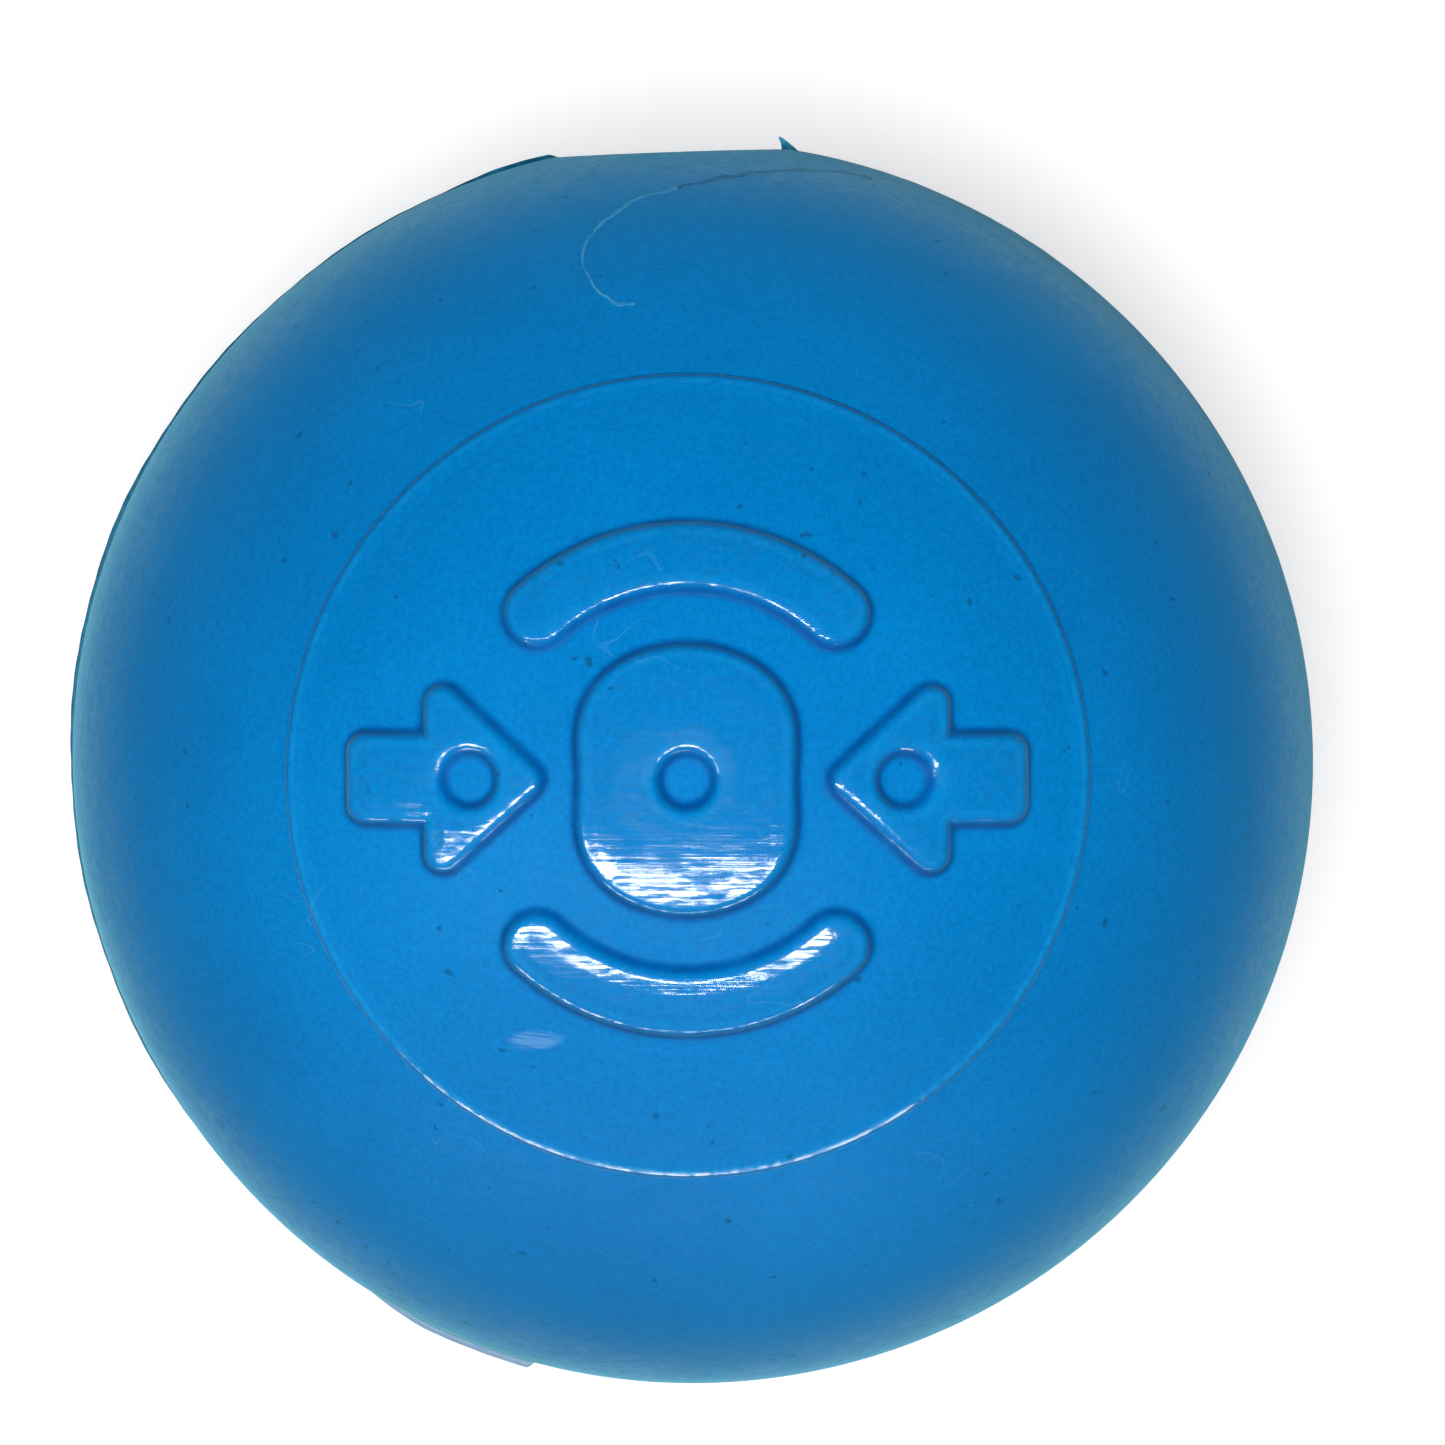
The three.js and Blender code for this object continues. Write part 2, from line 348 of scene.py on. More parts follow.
# The half ball with its medallion: rows crowd where its edge rolls off, and the masks follow the shape
def makeUpperSkin():
    b = upperSkinBuild
    grow = ballRadius / (ballRadius + mould["medallionHeight"])
    bandStart = (mould["medallionRadius"] + stepEdge["lipFrom"] - 0.05) * grow
    startAngle = math.asin(bandStart / ballRadius)
    pastFoot = stepEdge["end"] + footShade["stepWidth"] + b["footMargin"]
    out = np.concatenate([
        np.linspace(stepEdge["lipFrom"], stepEdge["start"], b["lipRows"], endpoint=False),
        np.linspace(stepEdge["start"], stepEdge["end"], b["edgeRows"], endpoint=False),
        np.linspace(stepEdge["end"], pastFoot, b["footRows"]),
    ])
    nearStep = np.arcsin((mould["medallionRadius"] + out) * grow / ballRadius)
    stepEnd = nearStep[-1]
    rest = np.linspace(0, 1, b["sideRows"] + 1)[1:]
    rest = stepEnd + (math.pi / 2 - stepEnd) * (1 - (1 - rest) ** b["sideDraw"])
    rows = (np.concatenate([nearStep, rest]) - startAngle) / (math.pi / 2 - startAngle)

    # drawn in at the medallion's height over the ball, then brought back to the ball's own size
    def spread(x, y):
        x, y = drawIn(x / grow, y / grow)
        return x * grow, y * grow

    points, quads, fan = halfSkin(
        b["gridCount"], bandStart, rows, b["innerRows"], upperRadius, spread
    )
    skin = makePiece("upperSkin", trimmed(settled(points)), quads, fan)
    far = np.linalg.norm(points, axis=1)
    directions = points / far[:, None]
    flat = directions[:, :2] * (ballRadius + mould["medallionHeight"])
    s = marks(flat[:, 0], flat[:, 1])
    onTop = (directions[:, 2] > 0.5) * (far > cavityRadius + 1)
    storeAttribute(skin, "markTop", smooth((-glossEdge["markAt"] - s) / glossEdge["markWidth"]) * onTop)
    fromStep = np.hypot(flat[:, 0], flat[:, 1]) - mould["medallionRadius"]
    lowerSide = smooth((sides["lowerFrom"] - flat[:, 1]) / sides["lowerOver"])
    glossy = smooth(glossEdge["stepFull"] - np.abs(fromStep + glossEdge["stepAt"]) / glossEdge["stepWidth"])
    storeAttribute(skin, "stepEdge", glossy * lowerSide * onTop)
    # painted highlight along the edges, brighter on the lower side that faces the light: a line inside the
    # medallion's edge, a fainter one inside the outlines
    ring = smooth(1 - np.abs(fromStep + edgeHighlightPlace["stepAt"]) / edgeHighlightPlace["stepWidth"])
    rim = smooth(1 - np.abs(s + edgeHighlightPlace["markAt"]) / edgeHighlightPlace["markWidth"])
    ring = ring * (0.55 + 0.45 * lowerSide)
    storeAttribute(skin, "edgeHighlight", np.maximum(ring, edgeHighlightPlace["markShare"] * rim) * onTop)
    # painted shade in the corner at the foot of the marks and of the medallion, darkest on the side away
    # from the light
    upperSide = smooth((flat[:, 1] - sides["upperFrom"]) / sides["upperOver"])
    footOfMark = smooth(1 - np.abs(s - footShade["markAt"]) / footShade["markWidth"])
    footOfStep = smooth(1 - np.abs(fromStep - footShade["stepAt"]) / footShade["stepWidth"])
    storeAttribute(skin, "paintedFootShade", np.maximum(footOfMark, footOfStep * (0.15 + 0.6 * upperSide)) * onTop)
    return skin


lowerSkinBuild = {"gridCount": 97, "sideRows": 40, "sideDraw": 1.5, "innerRows": 10, "bandStart": 20.0}


# A plain half ball, made like the upper one and turned half round about +Y
def makeLowerSkin():
    b = lowerSkinBuild
    rows = np.linspace(0, 1, b["sideRows"] + 1)[1:]
    rows = 1 - (1 - rows) ** b["sideDraw"]
    points, quads, fan = halfSkin(
        b["gridCount"], b["bandStart"], rows, b["innerRows"],
        lambda d: np.full(len(d), ballRadius), lambda x, y: (x, y),
    )
    points = points * [-1, 1, -1]
    return makePiece("lowerSkin", trimmed(settled(points)), quads, fan)


flash = {
    "count": 1400,
    "depth": 2.6,  # how far it reaches in between the rims
    "halfThickness": 0.05,
    "proud": 0.10,
    "leftProud": 0.27,
    # where each sliver begins and breaks off, in degrees, and its height
    "slivers": [(234, 253.5, 0.42), (113, 97, 0.17), (335, 327, 0.06)],
    "swellAt": 170,  # middle and reach of the swell on the left, in degrees
    "swellReach": 85,
    "flushAt": 9.8,  # degrees from the plug within which it lies flush with the knife cut
    "flushOver": 1.6,
    "flatReach": 20,  # degrees from the plug within which its root follows the knife cut
    "endOver": 0.02,  # radians over which it thins out beside the plug's hole
    # waves per degree, phase and share of each ripple
    "ripples": [(0.13, 0, 0.25), (0.37, 1, 0.15), (1.9, 0, 0.06)],
}


# A thin fin swept round the seam. Its height is a base, a swell on the left, slivers and fine ripples
def makeSeamFlash():
    hole = math.asin(mould["plugHole"] / ballRadius)
    along = np.linspace(math.pi / 2 + hole, math.pi * 2.5 - hole, flash["count"])
    degrees = np.degrees(along) % 360
    left = smooth(1 - np.abs(degrees - flash["swellAt"]) / flash["swellReach"])
    ripple = 0.5 + sum(share * np.sin(degrees * pace + phase) for pace, phase, share in flash["ripples"])
    proud = flash["proud"] * ripple + flash["leftProud"] * left * (0.7 + 0.3 * ripple)
    for begin, end, height in flash["slivers"]:
        share = (degrees - begin) / (end - begin)
        proud += height * smooth(share * 2) * smooth((1 - share) * 25)
    # across the knife cut it lies flush
    beside = np.abs(degrees - 90)
    proud = proud * smooth((beside - flash["flushAt"]) / flash["flushOver"])
    atCut = flatY / np.cos(np.radians(np.minimum(beside, flash["flatReach"])))
    root = np.where(beside < flash["flatReach"], atCut, ballRadius)
    root = np.minimum(root, ballRadius) - mould["seamDip"]
    ends = smooth(np.minimum(along - along[0], along[-1] - along) / flash["endOver"])
    # section: across the seam and out from the ball, from root to lip and back
    out = np.array([-1.0, 0.0, 0.55, 1.0, 1.0, 0.55, 0.0, -1.0])
    across = np.array([-1.0, -1.0, -0.8, -0.35, 0.35, 0.8, 1.0, 1.0])
    reach = np.where(out < 0, -flash["depth"], 0) + np.maximum(out, 0) * proud[:, None]
    radius = root[:, None] + reach * ends[:, None]
    z = across * flash["halfThickness"] * (0.2 + 0.8 * ends[:, None])
    x = radius * np.cos(along)[:, None]
    y = radius * np.sin(along)[:, None]
    points = np.stack([x, y, z], -1).reshape(-1, 3)
    count = len(out)
    number = np.arange(len(points)).reshape(-1, count)
    nextOne = np.roll(number, -1, 1)
    quads = np.stack([number[:-1], number[1:], nextOne[1:], nextOne[:-1]], -1).reshape(-1, 4)
    first, last = number[0], number[-1]
    caps = np.vstack([
        np.stack([first[1:-1], first[2:], np.full(count - 2, first[0])], 1),
        np.stack([np.full(count - 2, last[0]), last[2:], last[1:-1]], 1),
    ])
    fin = makePiece("seamFlash", settled(points), quads, caps)
    storeAttribute(fin, "lip", np.tile(np.maximum(out, 0), len(number)))
    return fin


# rings, points round each, and how far the foot is buried. The core keeps the tip from being a point
burrShape = {"rows": 10, "around": 20, "buried": 0.35, "taper": 1.6, "core": 0.22}
burrs = [
    {"name": "trimBurrLeft", "at": -6.35, "length": 1.2, "height": 0.14, "lean": 1.0, "thick": 0.3},
    {"name": "trimBurrRight", "at": 6.15, "length": 1.25, "height": 0.68, "lean": -0.85, "thick": 0.34},
]


# A sliver of rubber: rings that shrink and lean along its height, over a flattened oval foot
def makeBurr(b):
    rows, around, buried = burrShape["rows"], burrShape["around"], burrShape["buried"]
    t = np.linspace(0, 1, rows)[:, None]
    a = np.linspace(0, 2 * math.pi, around, endpoint=False)
    core = burrShape["core"] * np.sqrt(1 - 0.9 * t ** 6)
    shrink = (1 - t) ** burrShape["taper"] * (1 - burrShape["core"]) + core
    x = b["at"] + b["lean"] * b["height"] * t ** burrShape["taper"] + b["length"] / 2 * shrink * np.cos(a)
    z = b["thick"] / 2 * shrink * np.sin(a)
    seat = math.sqrt(ballRadius ** 2 - b["at"] ** 2) - buried
    y = seat + (b["height"] + buried) * t + 0 * a
    points = np.stack([x, y, z], -1).reshape(-1, 3)
    number = np.arange(len(points)).reshape(rows, around)
    low, high = number[0], number[-1]
    closing = np.vstack([
        np.stack([np.full(around, len(points)), np.roll(high, 1), high], 1),
        np.stack([np.full(around, len(points) + 1), low, np.roll(low, 1)], 1),
    ])
    points = np.vstack([points, points[-around:].mean(0), points[:around].mean(0)])
    quads = ringQuads(number[:, ::-1][::-1])
    return makePiece(b["name"], points, quads, closing)


plug = {"radius": 4.8, "around": 96, "edgeRound": 0.12, "dish": 0.06, "flangeRound": 0.25, "clearance": 0.3}


# A profile turned about +Y: flange, shank, rounded lip and a face that the knife left slightly dished
def makeFillPlug():
    flangeTop = math.sqrt(cavityRadius ** 2 - flangeRadius ** 2) - plug["clearance"]
    bend = np.linspace(0, math.pi / 2, 5)
    f, e = plug["flangeRound"], plug["edgeRound"]
    radii = [[0.0], flangeRadius - f + f * np.sin(bend), flangeRadius - f + f * np.cos(bend)]
    heights = [[flangeBase], flangeBase + f - f * np.cos(bend), flangeTop - f + f * np.sin(bend)]
    radii += [[plug["radius"]], plug["radius"] - e + e * np.cos(bend)]
    heights += [[flangeTop], flatY - e + e * np.sin(bend)]
    face = np.linspace(plug["radius"] - e, 0, 9)[1:]
    radii.append(face)
    heights.append(flatY - plug["dish"] * (1 - (face / plug["radius"]) ** 2))
    radius, height = np.concatenate(radii), np.concatenate(heights)
    a = np.linspace(0, 2 * math.pi, plug["around"], endpoint=False)
    inner = slice(1, -1)
    x = radius[inner, None] * np.sin(a)
    z = radius[inner, None] * np.cos(a)
    y = height[inner, None] + 0 * a
    points = np.stack([x, y, z], -1).reshape(-1, 3)
    number = np.arange(len(points)).reshape(-1, plug["around"])
    base, top = len(points), len(points) + 1
    points = np.vstack([points, [[0, height[0], 0], [0, height[-1], 0]]])
    low, high = number[0], number[-1]
    fan = np.vstack([
        np.stack([np.full(len(low), base), np.roll(low, -1), low], 1),
        np.stack([np.full(len(high), top), high, np.roll(high, -1)], 1),
    ])
    return makePiece("fillPlug", points, ringQuads(number[::-1]), fan)


foam = {
    "gridCount": 97,
    "bandRows": 44,
    "lumpDepth": 0.35,
    "lumps": (37, 41, 43),  # how closely they follow each other along each axis
    "pocketMargin": 0.35,
    "pocketRound": 0.6,
}


# A ball of foam with a lumpy cut surface, and a flat-bottomed pocket under the plug's flange
def makeFoamCore():
    share, azimuth = discGrid(foam["gridCount"])
    quads, border = gridFaces(foam["gridCount"])
    cap = towards(share * math.pi / 4, azimuth)
    around = -math.pi / 4 + np.arange(len(border)) * 2 * math.pi / len(border)
    down = np.linspace(math.pi / 4, math.pi, foam["bandRows"] + 1)[1:-1, None]
    band = towards(down, around).reshape(-1, 3)
    d = np.concatenate([cap, band, [[0, 0, -1]]])
    px, py, pz = foam["lumps"]
    lumps = np.sin(d[:, 0] * px) * np.sin(d[:, 1] * py + 1) * np.sin(d[:, 2] * pz + 2)
    radius = coreRadius - foam["lumpDepth"] * (0.5 + 0.5 * lumps)
    off = np.hypot(d[:, 0], d[:, 2]) / np.maximum(d[:, 1], 1e-3) * flangeBase
    pocket = (flangeRadius + foam["pocketMargin"] + foam["pocketRound"] - off) / foam["pocketRound"]
    pocket = smooth(pocket) * (d[:, 1] > 0)
    floor = (flangeBase - foam["pocketMargin"]) / np.maximum(d[:, 1], 0.5)
    radius = radius * (1 - pocket) + np.minimum(radius, floor) * pocket
    loops = np.vstack([border, np.arange(len(band)).reshape(-1, len(border)) + len(cap)])
    last = loops[-1]
    fan = np.stack([np.full(len(last), len(d) - 1), np.roll(last, -1), last], 1)
    return makePiece("foamCore", d * radius[:, None], np.concatenate([quads, ringQuads(loops)]), fan)


upperSkin = makeUpperSkin()
lowerSkin = makeLowerSkin()
seamFlash = makeSeamFlash()
burrPieces = [makeBurr(b) for b in burrs]
fillPlug = makeFillPlug()
foamCore = makeFoamCore()
print("pieces made")


# Short names for building a node tree
class Nodes:

    def __init__(self, name):
        self.material = bpy.data.materials.new(name)
        self.material.use_nodes = True
        self.tree = self.material.node_tree
        self.shader = self.tree.nodes["Principled BSDF"]
        self.place = self.attribute("restPlace", "Vector")  # millimetres

    # links a socket, sets anything else
    def put(self, socket, value):
        if isinstance(value, bpy.types.NodeSocket):
            self.tree.links.new(value, socket)
        else:
            socket.default_value = value

    # a node of one kind, with its settings and its inputs by name or number
    def add(self, kind, inputs, **settings):
        node = self.tree.nodes.new(kind)
        for key, value in settings.items():
            setattr(node, key, value)
        for key, value in inputs.items():
            self.put(node.inputs[key], value)
        return node

    # gives a length or a dot product as a number and anything else as a vector
    def vector(self, operation, a, b=(0, 0, 0)):
        node = self.add("ShaderNodeVectorMath", {0: a, 1: b}, operation=operation)
        return node.outputs["Value" if operation in ("LENGTH", "DOT_PRODUCT") else "Vector"]

    # what the mesh stores for each vertex
    def attribute(self, name, output="Fac"):
        return self.add("ShaderNodeAttribute", {}, attribute_name=name).outputs[output]

    # one sum on one or two numbers
    def math(self, operation, a, b=0.5, clamp=False):
        return self.add("ShaderNodeMath", {0: a, 1: b}, operation=operation, use_clamp=clamp).outputs[0]

    # eases from toLow to toHigh while the value goes from low to high, and stays level outside them
    def ramp(self, value, low, high, toLow=0.0, toHigh=1.0):
        inputs = {"Value": value, "From Min": low, "From Max": high, "To Min": toLow, "To Max": toHigh}
        return self.add("ShaderNodeMapRange", inputs, interpolation_type="SMOOTHSTEP").outputs["Result"]

    # cloudy noise with so many cells to the millimetre, stretched along axes turned about +Z
    def noise(self, perMm, detail=3.0, roughness=0.5, stretch=None, turn=0.0, distortion=0.0):
        place = self.place
        if stretch:
            inputs = {"Vector": place, "Rotation": (0, 0, math.radians(turn)), "Scale": stretch}
            place = self.add("ShaderNodeMapping", inputs, vector_type="TEXTURE").outputs["Vector"]
        inputs = {"Vector": place, "Scale": perMm, "Detail": detail, "Roughness": roughness}
        return self.add("ShaderNodeTexNoise", {**inputs, "Distortion": distortion}).outputs["Fac"]

    # colour a where share is 0, colour b where it is 1
    def mix(self, share, a, b, blend="MIX"):
        node = self.add("ShaderNodeMix", {0: share, 6: a, 7: b}, data_type="RGBA", blend_type=blend)
        return node.outputs[2]

    # depth in millimetres, laid over an earlier bump when there is one
    def bump(self, height, depth, normal=None):
        inputs = {"Height": height, "Strength": 1.0, "Distance": depth * mm}
        if normal:
            inputs["Normal"] = normal
        return self.add("ShaderNodeBump", inputs).outputs["Normal"]


rubber = {
    "deep": (0.0, 0.196, 0.546, 1),
    "bright": (0.0, 0.223, 0.606, 1),
    "dirt": (0.004, 0.05, 0.11, 1),
    "scuff": (0.05, 0.30, 0.62, 1),
    "shadow": (0.0, 0.080, 0.31, 1),  # painted shade for the corners at the foot of the marks and for the crease
    # painted highlight along the edges
    "edgeHighlight": (0.01, 0.36, 0.80, 1),
    "paintedGlint": (0.16, 0.38, 0.74, 1),
    # chalky bloom and painted reflection of the pale rim sheen
    "chalkAndRimSheen": (0.17, 0.37, 0.70, 1),
    "gloss": 0.018,  # specular level: the skin is dull under its gloss spots
    "roughness": 0.5,
    "ior": 1.5,
    "bloom": 0.36,
    "bloomSpread": 0.4,
    "bloomTint": (0.26, 0.84, 1.0, 1),
    "grainDepth": 0.009,
    "waveDepth": 0.012,
    "grimeAndGrooveShadow": (0.0, 0.09, 0.22, 1),
    "hair": (0.08, 0.42, 0.72, 1),
    "cloudPerMm": 0.05,
    "grainPerMm": 3.6,
    "rimSheenFrom": 15.5,  # heights over the seam between which the chalky bloom and painted rim sheen thicken
    "rimSheenTo": 6,
    "specksPerMm": 1.25,
    "polish": 0.11,  # roughness of the polished mark tops
    "polishIor": 1.45,
    "millDepth": 0.010,
    "millPitch": 0.19,
}
# Arcs through three points of the upper skin, seen from above: a crease by the plug, drawn as a painted
# shade line, then a fibre
creaseShadeArcs = [[(10.2, 29.5), (5.2, 29.95), (0.4, 29.2)]]
fibre = [[(0.4, 29.2), (-2.2, 28.4), (-4.15, 26.7)], [(-4.15, 26.7), (-4.3, 25.3), (-1.85, 23.4)]]

glintPatch = {"centre": (-7.9, -12.6, 28), "shrink": (0.62, 1.7, 0)}  # a painted highlight: a pale streaked glint patch on the medallion


# Centre and radius of the circle through three points, and its heading and half angle
def arcThrough(points):
    (ax, ay), (bx, by), (cx, cy) = points
    matrix = np.array([[bx - ax, by - ay], [cx - ax, cy - ay]]) * 2
    sums = [bx ** 2 + by ** 2 - ax ** 2 - ay ** 2, cx ** 2 + cy ** 2 - ax ** 2 - ay ** 2]
    centre = np.linalg.solve(matrix, sums)
    spokes = np.array(points) - centre
    radius = np.linalg.norm(spokes[0])
    heading = spokes[0] + spokes[2]
    heading /= np.linalg.norm(heading)
    if heading @ spokes[1] < 0:
        heading = -heading
    return centre, radius, heading, spokes[0] @ heading / radius


# A mask along thin arcs on the upper skin, seen from above, with a slight wander
def arcMask(n, arcs, width):
    split = n.add("ShaderNodeSeparateXYZ", {"Vector": n.place})
    flat = n.add("ShaderNodeCombineXYZ", {"X": split.outputs["X"], "Y": split.outputs["Y"]}).outputs[0]
    wander = n.math("MULTIPLY", n.math("SUBTRACT", n.noise(0.9, 2), 0.5), 0.5)
    total = None
    for points in arcs:
        centre, radius, heading, cosine = arcThrough(points)
        out = n.vector("SUBTRACT", flat, (*centre, 0))
        far = n.math("ADD", n.vector("LENGTH", out), wander)
        away = n.math("ABSOLUTE", n.math("SUBTRACT", far, radius))
        line = n.ramp(away, width, width * 0.35)
        facing = n.vector("DOT_PRODUCT", n.vector("NORMALIZE", out), (*heading, 0))
        line = n.math("MULTIPLY", line, n.math("GREATER_THAN", facing, cosine))
        total = line if total is None else n.math("MAXIMUM", total, line)
    return n.math("MULTIPLY", total, n.math("GREATER_THAN", split.outputs["Z"], 0.0))


sliverPlace = {"middle": 245.5, "inner": 7, "outer": 11}  # degrees


# 1 in the part of the seam where its widest sliver stands, 0 elsewhere
def sliverSector(n):
    middle = math.radians(sliverPlace["middle"])
    level = n.vector("NORMALIZE", n.vector("MULTIPLY", n.place, (1, 1, 0)))
    facing = n.vector("DOT_PRODUCT", level, (math.cos(middle), math.sin(middle), 0))
    ends = [math.cos(math.radians(sliverPlace[k])) for k in ("outer", "inner")]
    return n.ramp(facing, *ends)


# Moulded rubber: cloudy colour, fine grain, dirt specks, hairline scuffs, chalky bloom with painted rim
# sheen by the seam, grime with a painted groove shadow
def rubberSkin(name, shade=1.0, marked=False):
    n = Nodes(name)
    height = n.math("ABSOLUTE", n.add("ShaderNodeSeparateXYZ", {"Vector": n.place}).outputs["Z"])
    cloud = n.ramp(n.noise(rubber["cloudPerMm"], 4, 0.55), 0.35, 0.65)
    grain = n.noise(rubber["grainPerMm"], 4, 0.7)
    tone = [tuple(c * shade for c in rubber[k][:3]) + (1,) for k in ("deep", "bright")]
    colour = n.mix(cloud, tone[0], tone[1])
    mottle = n.ramp(grain, 0.3, 0.7, 0.88, 1.1)
    mottle = n.add("ShaderNodeCombineColor", {0: mottle, 1: mottle, 2: mottle}).outputs[0]
    colour = n.mix(1.0, colour, mottle, "MULTIPLY")
    # chalky bloom, with a painted reflection standing in for the pale sheen at the ball's rim: thicker
    # towards the seam and patchy
    low = n.ramp(height, rubber["rimSheenFrom"], rubber["rimSheenTo"])
    chalkAndRimSheen = n.math("MULTIPLY", low, n.ramp(n.noise(0.14, 5, 0.65), 0.35, 0.65, 0.25, 0.58))
    mottled = n.ramp(n.noise(1.7, 5, 0.75), 0.38, 0.62, 0.35, 1.35)
    colour = n.mix(n.math("MULTIPLY", chalkAndRimSheen, mottled, clamp=True), colour, rubber["chalkAndRimSheen"])
    # grime caught beside the seam, and a painted shadow along the groove where the widest sliver meets the
    # skin
    grimeAndGrooveShadow = n.math("MULTIPLY", n.ramp(height, 6.5, 2.5), n.ramp(n.noise(0.3, 5, 0.6), 0.55, 0.68))
    sector = sliverSector(n)
    smear = n.math("MULTIPLY", n.ramp(height, 12, 9), n.ramp(n.noise(0.8, 4, 0.6), 0.55, 0.62, 0, 0.8))
    # painted shadow along the groove at the widest sliver, with a dark smear
    smearAndGrooveShadow = n.math("MAXIMUM", smear, n.ramp(height, 6.6, 5.4))
    grimeAndGrooveShadow = n.math("MAXIMUM", n.math("MULTIPLY", grimeAndGrooveShadow, 0.5), n.math("MULTIPLY", sector, smearAndGrooveShadow))
    colour = n.mix(n.math("MULTIPLY", grimeAndGrooveShadow, 0.75), colour, rubber["grimeAndGrooveShadow"])
    # dirt specks: the peaks of a noise, in some places only
    peaks = n.ramp(n.noise(rubber["specksPerMm"], 1, 0.4), 0.742, 0.76)
    speck = n.math("MULTIPLY", peaks, n.ramp(n.noise(0.13, 2), 0.45, 0.55))
    colour = n.mix(n.math("MULTIPLY", speck, 0.5), colour, rubber["dirt"])
    # hairline scuffs: where a distorted noise crosses its middle, in a few patches
    ridge = n.math("ABSOLUTE", n.math("SUBTRACT", n.noise(0.22, 1, 0.4, distortion=0.6), 0.5))
    patch = n.ramp(n.noise(0.11, 2), 0.6, 0.66)
    scuff = n.math("MULTIPLY", n.ramp(ridge, 0.006, 0.001), patch)
    colour = n.mix(n.math("MULTIPLY", scuff, 0.35), colour, rubber["scuff"])
    normal = n.bump(n.noise(0.45, 2, 0.5), rubber["waveDepth"])
    normal = n.bump(grain, rubber["grainDepth"], normal)
    rough = n.ramp(n.noise(0.9, 4, 0.6), 0.3, 0.7, rubber["roughness"] - 0.05, rubber["roughness"] + 0.07)
    rough = n.math("ADD", rough, n.math("MULTIPLY", speck, 0.25), clamp=True)
    if marked:
        # painted highlight: a soft streaked glint patch low on the medallion
        glintShare = n.vector("MULTIPLY", n.vector("SUBTRACT", n.place, glintPatch["centre"]), glintPatch["shrink"])
        glintShare = n.ramp(n.vector("LENGTH", glintShare), 1.0, 0.5)
        streak = n.ramp(n.noise(1.0, 2, 0.6, stretch=(2.5, 0.2, 14.0), turn=-8), 0.4, 0.6, 0.1, 0.55)
        colour = n.mix(n.math("MULTIPLY", glintShare, streak), colour, rubber["paintedGlint"])
        # painted highlight along the medallion's edge and inside the outlines
        edgeHighlight = n.math("MULTIPLY", n.attribute("edgeHighlight"), n.ramp(n.noise(1.3, 4, 0.65), 0.35, 0.6, 0.15, 0.6))
        colour = n.mix(edgeHighlight, colour, rubber["edgeHighlight"])
        # painted shade at the foot of the marks and of the medallion's edge
        paintedFootShade = n.math("MULTIPLY", n.attribute("paintedFootShade"), n.ramp(n.noise(0.5, 3), 0.3, 0.6, 0.65, 0.95))
        colour = n.mix(paintedFootShade, colour, rubber["shadow"])
        # painted shade along the crease by the plug
        creaseShade = n.math("MULTIPLY", arcMask(n, creaseShadeArcs, 0.13), n.ramp(n.noise(0.6, 2), 0.3, 0.5, 0.5, 0.95))
        colour = n.mix(creaseShade, colour, rubber["shadow"])
        hair = n.math("MULTIPLY", arcMask(n, fibre, 0.09), n.ramp(n.noise(0.7, 3), 0.35, 0.55, 0.25, 0.75))
        colour = n.mix(hair, colour, rubber["hair"])
        normal = n.bump(hair, 0.03, normal)
        ripple = polishMarks(n)
        normal = n.bump(ripple, rubber["millDepth"], normal)
    n.put(n.shader.inputs["Base Color"], colour)
    n.put(n.shader.inputs["Roughness"], rough)
    n.put(n.shader.inputs["Normal"], normal)
    n.shader.inputs["IOR"].default_value = rubber["ior"]
    n.shader.inputs["Specular IOR Level"].default_value = rubber["gloss"]
    n.shader.inputs["Sheen Weight"].default_value = rubber["bloom"]
    n.shader.inputs["Sheen Roughness"].default_value = rubber["bloomSpread"]
    n.shader.inputs["Sheen Tint"].default_value = rubber["bloomTint"]
    return n.material


# The marks copy a polished, milled mould: a clear gloss broken up by straight milling lines
def polishMarks(n):
    top, step = n.attribute("markTop"), n.attribute("stepEdge")
    pitch, turn = rubber["millPitch"], mould["markTurn"]
    mill = n.noise(1.0, 2, 0.6, stretch=(1.5, pitch, 14.0), turn=turn)
    longMill = n.noise(1.0, 3, 0.6, stretch=(16.0, pitch, 14.0), turn=turn)
    blotch = n.noise(0.9, 2, 0.5, stretch=(1.5, 0.9, 1.0), turn=turn)
    streaks = n.math("MULTIPLY", n.ramp(mill, 0.40, 0.54, 0.08, 1.0), n.ramp(blotch, 0.36, 0.52, 0.15, 1.0))
    broken = n.math("MULTIPLY", step, n.ramp(n.noise(1.6, 3, 0.6), 0.42, 0.56, 0.15, 0.9))
    gloss = n.math("ADD", n.math("MULTIPLY", top, streaks), broken, clamp=True)
    n.put(n.shader.inputs["Coat Weight"], gloss)
    n.shader.inputs["Coat Roughness"].default_value = rubber["polish"]
    n.shader.inputs["Coat IOR"].default_value = rubber["polishIor"]
    n.put(n.shader.inputs["Coat Normal"], n.bump(longMill, rubber["millDepth"]))
    return n.math("MULTIPLY", longMill, top)


seamFinish = {
    "flashDark": (0.0, 0.115, 0.21, 1),
    "flashPale": (0.01, 0.19, 0.33, 1),
    "burrLitDark": (0.01, 0.20, 0.38, 1),
    "burrLitPale": (0.06, 0.32, 0.52, 1),
    "sliverHighlight": (0.13, 0.27, 0.43, 1),
    "dragDepth": 0.02,
    "ior": 1.3,
}


